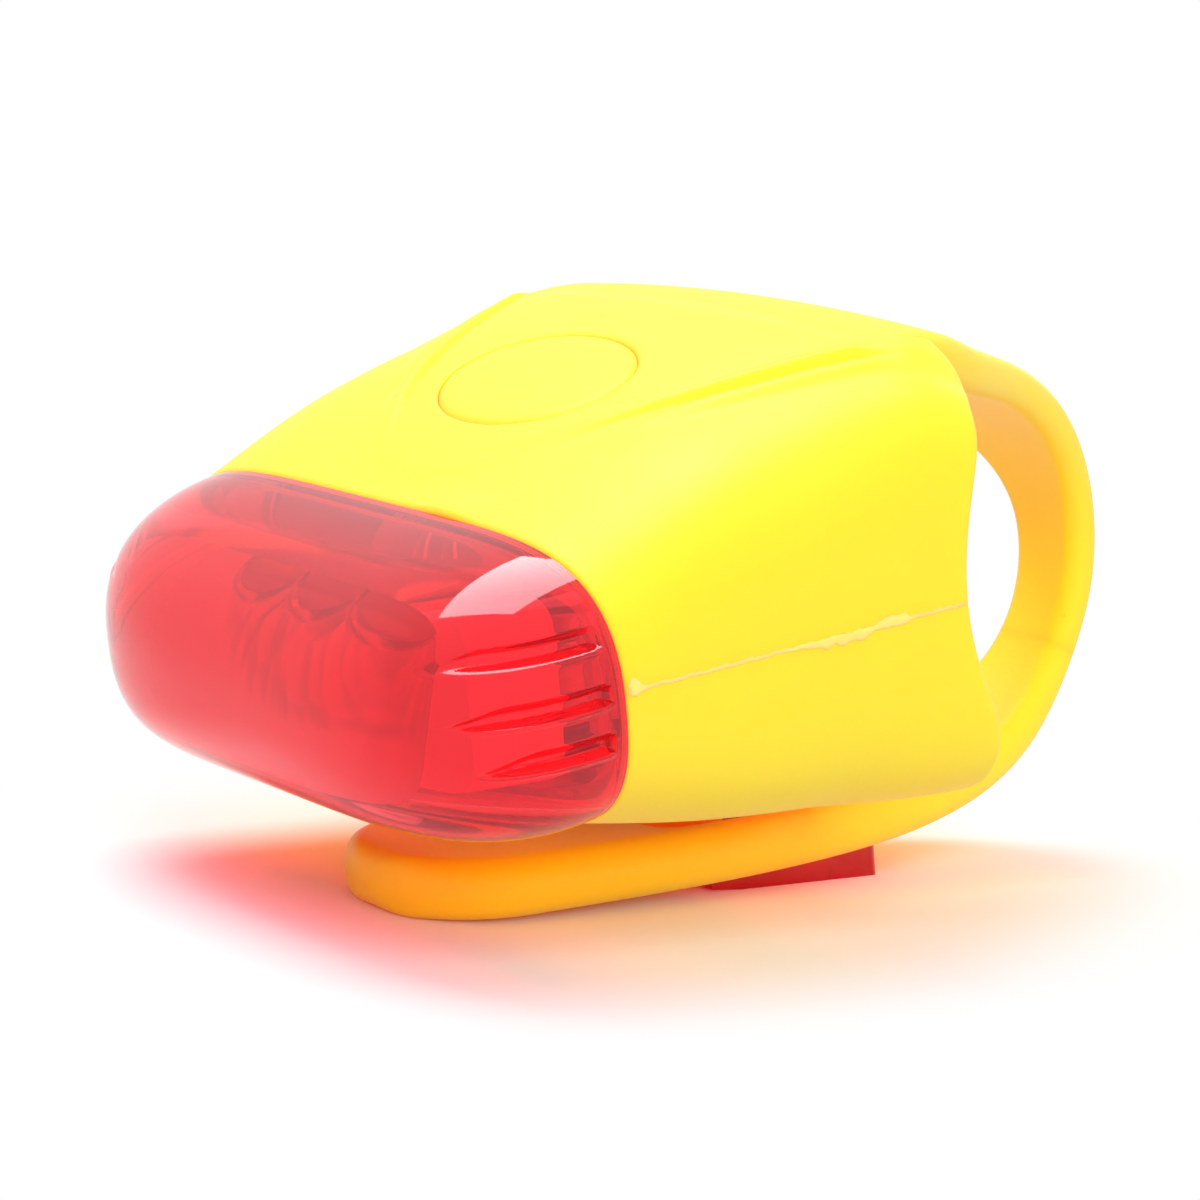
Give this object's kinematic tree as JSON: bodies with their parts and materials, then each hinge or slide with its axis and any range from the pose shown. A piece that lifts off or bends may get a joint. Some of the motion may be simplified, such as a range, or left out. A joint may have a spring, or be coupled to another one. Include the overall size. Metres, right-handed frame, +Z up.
{
  "type": "bicycle tail light",
  "caption": "Soft silicone bicycle tail light with a see-through red lens, push button, hook and a stretch strap that loops round a handlebar or seat post.",
  "frame": {"origin": "middle of the footprint, on the surface that the light rests on with the heel of its hook and the tip of its pull tab", "axes": "+Z up, lens toward -Y, strap loop toward +Y, +X to the lamp's right seen from behind the lens"},
  "size_m": [0.054, 0.0704, 0.0394],
  "materials": {
    "silicone_yellow": "matte",
    "lens_red": "polished, see-through",
    "case_red": "polished",
    "gasket_black": "matte",
    "reflector_red": "polished",
    "led_clear": "clear",
    "board_green": "satin",
    "switch_metal": "satin",
    "plunger_black": "matte",
    "chip_black": "matte",
    "cell_steel": "satin",
    "cradle_white": "matte",
    "contact_metal": "bright"
  },
  "bodies": {
    "lamp": {"silicone_sleeve": "silicone_yellow", "lens": "lens_red", "rear_case": "case_red", "lens_gasket": "gasket_black", "reflector": "reflector_red", "led_left": "led_clear", "led_middle": "led_clear", "led_right": "led_clear", "circuit_board": "board_green", "switch_body": "switch_metal", "control_chip": "chip_black", "resistor_left": "chip_black", "resistor_middle": "chip_black", "resistor_right": "chip_black", "battery_upper": "cell_steel", "battery_lower": "cell_steel", "battery_cradle": "cradle_white", "contact_spring": "contact_metal", "contact_clip": "contact_metal", "board_screws": "cell_steel"},
    "button": {"button_pad": "silicone_yellow", "switch_plunger": "plunger_black"},
    "strap_band": {"strap_band": "silicone_yellow"},
    "strap_end": {"strap_end": "silicone_yellow"}
  },
  "joints": [
    {"name": "button_press", "type": "slide", "parent": "lamp", "child": "button", "axis": [0, 0.1848, -0.9828], "range_m": [0, 0.0008], "stiffness_N_per_m": 1500, "springref_m": -0.0002},
    {"name": "strap_open", "type": "hinge", "parent": "lamp", "child": "strap_band", "pos_m": [0, 0.00697, 0.03736], "axis": [1, 0, 0], "range_deg": [0, 30], "stiffness_Nm_per_rad": 0.03, "springref_deg": -2.86},
    {"name": "strap_end_swing", "type": "hinge", "parent": "strap_band", "child": "strap_end", "pos_m": [0, 0.02348, 0.00671], "axis": [1, 0, 0], "range_deg": [0, 85], "stiffness_Nm_per_rad": 0.01, "springref_deg": -2.86}
  ],
  "couplings": [
    {"joint": "strap_end_swing", "follows": "strap_open", "ratio": 2.8333}
  ]
}
